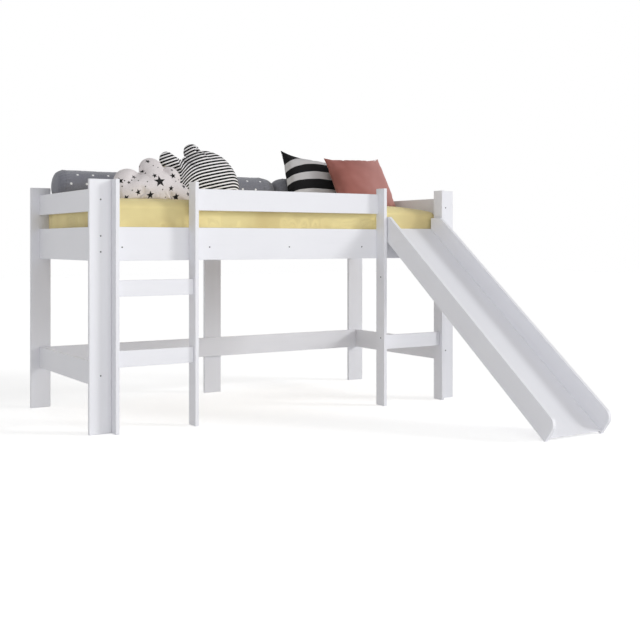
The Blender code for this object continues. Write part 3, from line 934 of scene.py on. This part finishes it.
def makeBolster(node):
    s = bolsterSettings
    low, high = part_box(node)
    radius = (high.y - low.y) / 2
    half = (high.x - low.x) / 2
    place = Vector(((low.x + high.x) / 2, (low.y + high.y) / 2, high.z - radius))
    left, right = s["capDepths"][node]
    profile = [(deep * left - half, wide * radius) for wide, deep in s["caps"]]
    profile += [(half - deep * right, wide * radius) for wide, deep in reversed(s["caps"])]
    shape = bmesh.new()
    dots = [shape.verts.new((x, 0, out)) for x, out in profile]
    for one, two in zip(dots, dots[1:]):
        shape.edges.new((one, two))
    bmesh.ops.spin(
        shape, geom=list(shape.verts) + list(shape.edges), cent=(0, 0, 0), axis=(1, 0, 0),
        angle=2 * pi, steps=s["sides"], use_merge=True,
    )
    bmesh.ops.remove_doubles(shape, verts=shape.verts, dist=mergeGap)
    bmesh.ops.recalc_face_normals(shape, faces=shape.faces)
    piece = newPiece(node + "_cover", shape)
    remesh(piece, s["voxel"])
    relax(piece, 1)
    seams = (s["seamShare"] * left - half, half - s["seamShare"] * right)
    points = readPoints(piece)
    away = np.minimum(*[np.abs(points[:, 0] - seam) for seam in seams])
    points[:, 1:] *= s["startShare"]
    writePoints(piece, points)
    swell(piece, s["swell"], np.where(away < s["heldReach"])[0])
    points = readPoints(piece)
    points = puckerBolster(points, radius, half, seams)
    writePoints(piece, restOnMattress(points + np.array(place)))
    ends = (dotPrint["capShare"] * left - half, half - dotPrint["capShare"] * right)
    material = makeDotCloth("grey dots " + node, place, ends, radius)
    finishPad(piece, node, material)
    turns = np.arange(s["weltPoints"]) / s["weltPoints"] * 2 * pi
    out = s["weltShare"] * radius
    for side, seam in zip(("left", "right"), seams):
        ring = np.stack((0 * turns + seam, out * np.sin(turns), out * np.cos(turns)), axis=1)
        ring = restOnMattress(ring + np.array(place))
        name = node + "_seam_" + side
        addSeam(name, ring, s["welt"], material, node)


for bolsterNode in ("bolster_long", "bolster_short"):
    makeBolster(bolsterNode)
print("bolsters are made")


# Loose cushions, made lying down with the front towards +Z and stood up at the end

cushionSettings = {
    "press": 0.014, "lift": 0.0003, "voxel": 0.0048, "plate": 0.010, "domeShare": 0.12,
    "domeRim": 0.003, "smoothing": 0.3,
    "swell": {"pressure": 5.0, "frames": 40, "tension": 12.0, "shear": 2.0, "bending": 0.15},
    "bins": 120, "pinchFrom": 0.90, "pinch": 0.55, "creaseLimit": 0.7, "seam": 0.0010,
    "seamShare": 0.998,
}
cloudSettings = {
    "all": {"sides": 360, "start": 1.05, "round": 2.3, "fill": 0.8},
    "stars": {
        "slot": "star_cotton", "calm": 0.5,
        "width": 0.390, "thickness": 0.125, "fromEnd": 0.368, "fromFront": 0.160, "lean": 14,
        "creases": (
            ((-0.070, 0.072), (-0.155, -0.020), 0.024, 0.017, 1.0),
            ((0.058, 0.076), (0.095, -0.005), 0.018, 0.015, 1.0),
        ),
        "base": 0.20,
        "lobes": (
            (0.00, 0.00, 0.24), (-0.30, 0.026, 0.19), (0.005, 0.205, 0.158),
            (0.228, 0.117, 0.144), (-0.30, -0.07, 0.16), (0.312, -0.092, 0.163),
        ),
    },
    "stripes": {
        "slot": "fine_striped_cotton", "calm": 0.35,
        "width": 0.440, "thickness": 0.165, "fromEnd": 0.725, "fromFront": 0.310, "lean": 10,
        "creases": (
            ((-0.035, 0.172), (-0.125, 0.125), 0.016, 0.011, 0.2),
            ((-0.175, 0.145), (-0.145, 0.085), 0.012, 0.012, 0.4),
        ),
        "base": 0.24,
        "lobes": (
            (-0.02, -0.013, 0.409), (-0.166, 0.362, 0.105), (-0.473, 0.265, 0.098),
            (-0.36, -0.03, 0.20),
        ),
    },
}
squareSettings = {
    "all": {
        "sides": 48, "start": 1.06, "round": 0.45, "fill": 0.75, "draw": 0.06, "calm": 0.15,
    },
    "stripes": {
        "slot": "broad_striped_weave", "lean": 28, "roll": -6, "dip": 0.026,
        "size": 0.368, "thickness": 0.105, "fromEnd": 0.500, "fromBack": 0.332,
        "corners": ((-0.010, -0.005), (0.0, -0.018), (-0.014, 0.0), (0.0, 0.0)),
    },
    "rose": {
        "slot": "rose_velvet", "lean": 36, "roll": 0, "dip": 0.014,
        "size": 0.365, "thickness": 0.110, "fromEnd": 0.283, "fromBack": 0.510,
        "corners": ((0.008, -0.003), (0.023, 0.011), (-0.007, 0.0), (0.004, 0.0)),
    },
}


def cloudReach(turn, lobes, base):
    reach = 0.0
    for across, up, radius in lobes:
        ahead = across * cos(turn) + up * sin(turn)
        aside = up * cos(turn) - across * sin(turn)
        if abs(aside) < radius:
            reach = max(reach, ahead + sqrt(radius * radius - aside * aside))
    if sin(turn) < 0.0:
        reach = min(reach, base / -sin(turn))
    return reach


def flatPlate(s, outline):
    # A thin closed plate of the cushion's outline, remeshed evenly
    shape = bmesh.new()
    bmesh.ops.create_circle(shape, cap_ends=True, segments=len(outline), radius=1.0)
    shape.verts.ensure_lookup_table()
    for vert, (x, y) in zip(shape.verts, outline):
        vert.co = (x, y, -s["plate"] / 2)
    swept = bmesh.ops.extrude_face_region(shape, geom=list(shape.faces))
    tops = [v for v in swept["geom"] if isinstance(v, bmesh.types.BMVert)]
    bmesh.ops.translate(shape, verts=tops, vec=(0, 0, s["plate"]))
    bmesh.ops.recalc_face_normals(shape, faces=shape.faces)
    piece = newPiece(s["node"] + "_cover", shape)
    remesh(piece, s["voxel"])
    relax(piece, 1)
    return piece


def dome(piece, puff, s):
    share = s["domeShare"]
    points = readPoints(piece)
    for i, (x, y, z) in enumerate(points):
        lift = share * s["thickness"] / 2 * puff(x, y) * min(1.0, abs(z) / s["domeRim"])
        points[i, 2] = z + lift if z > 0 else z - lift
    writePoints(piece, points)


def calmDome(piece, puff, s):
    # Mixes the swelled faces with an even dome, so that only shallow folds are left.
    points = readPoints(piece)
    for i, (x, y, z) in enumerate(points):
        even = (1 if z > 0 else -1) * s["thickness"] / 2 * puff(x, y)
        points[i, 2] = (1 - s["calm"]) * z + s["calm"] * even
    writePoints(piece, points)


def standMatrix(s, rise):
    turn = Matrix.Rotation(pi / 2 - radians(s["lean"]), 3, "X")
    turn = turn @ Matrix.Rotation(radians(s.get("roll", 0)), 3, "Z")
    foot = Vector((*s["spot"], mattressTop + s["lift"] - s["press"]))
    return foot + turn @ Vector((0, rise, 0)), turn


def pullCorners(points, s):
    # Moves the corners, and what lies near them, by their own amounts: the upper two, then the
    # lower two, the left one first.
    half = s["size"] / 2
    rise = np.clip((points[:, 1] / half + 1) / 2, 0, 1)
    right = np.clip((points[:, 0] / half + 1) / 2, 0, 1)
    shares = ((1 - right) * rise, right * rise, (1 - right) * (1 - rise), right * (1 - rise))
    for share, (aside, up) in zip(shares, s["corners"]):
        points[:, 0] += share * aside
        points[:, 1] += share * up
    return points


def pressCreases(piece, s):
    # Valleys that run in from the notches between a cloud's lobes, on both faces: where each
    # starts and ends, its depth, its width and how much it fades
    points = readPoints(piece)
    for start, end, depth, width, fade in s["creases"]:
        run = np.array(end) - np.array(start)
        share = np.clip((points[:, :2] - start) @ run / (run @ run), 0, 1)
        away = np.linalg.norm(points[:, :2] - start - share[:, None] * run, axis=1)
        push = depth * (1 - fade * share) * np.exp(-((away / width) ** 2))
        push = np.minimum(push, s["creaseLimit"] * np.abs(points[:, 2]))
        points[:, 2] -= np.sign(points[:, 2]) * push
    writePoints(piece, points)


def finishCushion(piece, s, edge, puff, rise, makeCloth):
    # Outline, edge and dip, then standing up on the mattress
    deep = s["thickness"] / 2
    edge = np.array(edge)
    fitBox(piece, (*edge.min(0), -deep), (*edge.max(0), deep))
    fitOutline(piece, edge, s)
    calmDome(piece, puff, s)
    if "creases" in s:
        pressCreases(piece, s)
    if "corners" in s:
        writePoints(piece, pullCorners(readPoints(piece), s))
        edge = pullCorners(edge, s)
    place, turn = standMatrix(s, rise)
    points = readPoints(piece) @ np.array(turn).T + np.array(place)
    writePoints(piece, restOnMattress(points))
    material = makeCloth(standMatrix(s, 0.0)[0], turn.to_euler())
    finishPad(piece, s["node"], material)
    rim = np.hstack((edge * s["seamShare"], np.zeros((len(edge), 1))))
    rim = restOnMattress(rim @ np.array(turn).T + np.array(place))
    addSeam(s["node"] + "_seam", rim, s["seam"], material, s["node"])


def makeCushion(s, makeEdge, puff, rise, makeCloth):
    # It starts from an outline that is larger by "start", because the cloth draws in.
    grow = s["start"]
    piece = flatPlate(s, makeEdge(grow))
    dome(piece, lambda x, y: puff(x, y, grow), s)
    swell(piece, {**s["swell"], "thickness": s["thickness"]})
    relax(piece, 1, s["smoothing"])
    finishCushion(piece, s, makeEdge(1.0), puff, rise, makeCloth)


def makeCloud(kind, makeCloth):
    s = {**cushionSettings, **cloudSettings["all"], **cloudSettings[kind]}
    s["node"] = "cushion_cloud_" + kind
    s["spot"] = (s["fromEnd"] - halfLength, frontY + s["fromFront"])
    sides = s["sides"]
    turns = [2 * pi * k / sides for k in range(sides)]
    reaches = [s["width"] * cloudReach(turn, s["lobes"], s["base"]) for turn in turns]

    def makeEdge(grow):
        return [(grow * (r * cos(t)), grow * (r * sin(t))) for r, t in zip(reaches, turns)]

    def puff(x, y, scale=1.0):
        turn = atan2(y, x) % (2 * pi)
        part = hypot(x, y) / (scale * reaches[int(turn / (2 * pi) * sides) % sides])
        return sqrt(max(0.0, 1 - min(1.0, part) ** s["round"]))

    makeCushion(s, makeEdge, puff, s["base"] * s["width"], makeCloth)


def squareEdge(s, grow):
    # The outline of a square cushion: the sides draw in between the corners, the top sinks.
    half = s["size"] / 2
    outline = []
    for k in range(4 * s["sides"]):
        side, share = divmod(k, s["sides"])
        along = 2 * share / s["sides"] - 1
        u, v = ((along, -1), (1, along), (-along, 1), (-1, -along))[side]
        x = half * u * (1 - s["draw"] * (1 - v * v))
        y = half * v * (1 - s["draw"] * (1 - u * u))
        y -= s["dip"] * (1 - u * u) * ((1 + v) / 2) ** 2
        outline.append((grow * x, grow * y))
    return outline


def makeSquare(kind, makeCloth):
    s = {**cushionSettings, **squareSettings["all"], **squareSettings[kind]}
    s["node"] = "cushion_square_" + kind
    s["spot"] = (halfLength - s["fromEnd"], backY - s["fromBack"])
    half = s["size"] / 2

    def puff(x, y, scale=1.0):
        u, v = min(1.0, abs(x) / half / scale), min(1.0, abs(y) / half / scale)
        return max(0.0, (1 - u * u) * (1 - v * v)) ** s["round"]

    makeCushion(s, lambda grow: squareEdge(s, grow), puff, half, makeCloth)


makeCloud("stars", makeStarCloth)
makeCloud("stripes", fineStripes)
makeSquare("stripes", broadStripes)
makeSquare("rose", makeVelvet)
print("cushions are made")


# Screw heads on the corner boards, the front rail and the left slide post

screwSettings = {
    "radius": 0.0038, "sides": 20, "proud": 0.0007, "socket": 0.52, "deep": 0.0006,
    "metal": (0.27, 0.27, 0.29),
    "metalSockets": {"Metallic": 0.85, "Roughness": 0.42},
    # The dark colour is painted shade on the floor of the sunk socket, speckled lighter at
    # random.
    "shade": 0.7, "bump": 0.00004, "dark": (0.012, 0.012, 0.013),
    "darkSockets": {"Roughness": 0.8}, "socketShadeSpeckle": 2.0,
    "grit": (1600.0, 2.0), "boardHeights": (1.0236, 0.8646, 0.7949, 0.2548), "fromEnd": 0.051,
    "railPlaces": (0.1564, 0.5841, 1.0142, 1.4435, 1.873), "railHeight": 0.8146,
    "postOut": 0.0225, "postHeights": (0.6588, 0.3467),
}


def makeScrewMetalAndSocketShade():
    s = screwSettings
    metal, tree, shader = startMaterial("screw metal", s["metalSockets"])
    rough = noiseAt(tree, turnedSpot(tree), *s["grit"])
    dull = shaded(s["metal"], s["shade"])
    colorFrom(tree, shader, rough, dull, s["metal"])
    bumpFrom(tree, shader, rough, s["bump"])
    # The sunk socket's floor is painted near black: painted shade in the recess, with a fine
    # lighter speckle.
    socket, tree, shader = startMaterial("screw socket painted shade", s["darkSockets"])
    rough = noiseAt(tree, turnedSpot(tree), *s["grit"])
    colorFrom(tree, shader, rough, s["dark"], shaded(s["dark"], s["socketShadeSpeckle"]))
    return metal, socket


def screwPlaces():
    # Each head's place, and the side that it faces
    s = screwSettings
    places = []
    for x in (s["fromEnd"] - halfLength, halfLength - s["fromEnd"]):
        for z in s["boardHeights"]:
            places.append(((x, frontY, z), (0, -1, 0)))
            places.append(((x, backY, z), (0, 1, 0)))
    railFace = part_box("side_rail_front")[0].y
    for x in s["railPlaces"]:
        places.append(((x - halfLength, railFace, s["railHeight"]), (0, -1, 0)))
    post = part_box("slide_post_left")[0].x
    for z in s["postHeights"]:
        places.append(((post, frontY - s["postOut"], z), (-1, 0, 0)))
    return places


def addHead(whole, place, facing):
    # A low round head with a sunk socket
    s = screwSettings
    head = bmesh.new()
    bmesh.ops.create_circle(head, cap_ends=True, segments=s["sides"], radius=s["radius"])
    top = bmesh.ops.extrude_face_region(head, geom=list(head.faces))["geom"]
    raised = [g for g in top if isinstance(g, bmesh.types.BMVert)]
    face = [g for g in top if isinstance(g, bmesh.types.BMFace)]
    bmesh.ops.translate(head, verts=raised, vec=(0, 0, s["proud"]))
    rim = s["radius"] * (1 - s["socket"])
    bmesh.ops.inset_region(head, faces=face, thickness=rim, use_even_offset=True)
    bmesh.ops.translate(head, verts=face[0].verts, vec=(0, 0, -s["deep"]))
    # The socket floor takes the second material, its painted shade.
    face[0].material_index = 1
    bmesh.ops.recalc_face_normals(head, faces=head.faces)
    turn = Vector(facing).to_track_quat("Z", "Y").to_matrix().to_4x4()
    bmesh.ops.transform(head, matrix=Matrix.Translation(place) @ turn, verts=head.verts)
    kept = bpy.data.meshes.new("head")
    head.to_mesh(kept)
    head.free()
    whole.from_mesh(kept)
    bpy.data.meshes.remove(kept)


def makeScrews():
    whole = bmesh.new()
    for place, facing in screwPlaces():
        addHead(whole, place, facing)
    screws = newPiece("screw_heads", whole)
    for material in makeScrewMetalAndSocketShade():
        screws.data.materials.append(material)
    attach(screws, "bed_frame")


makeScrews()
print("screws are made")
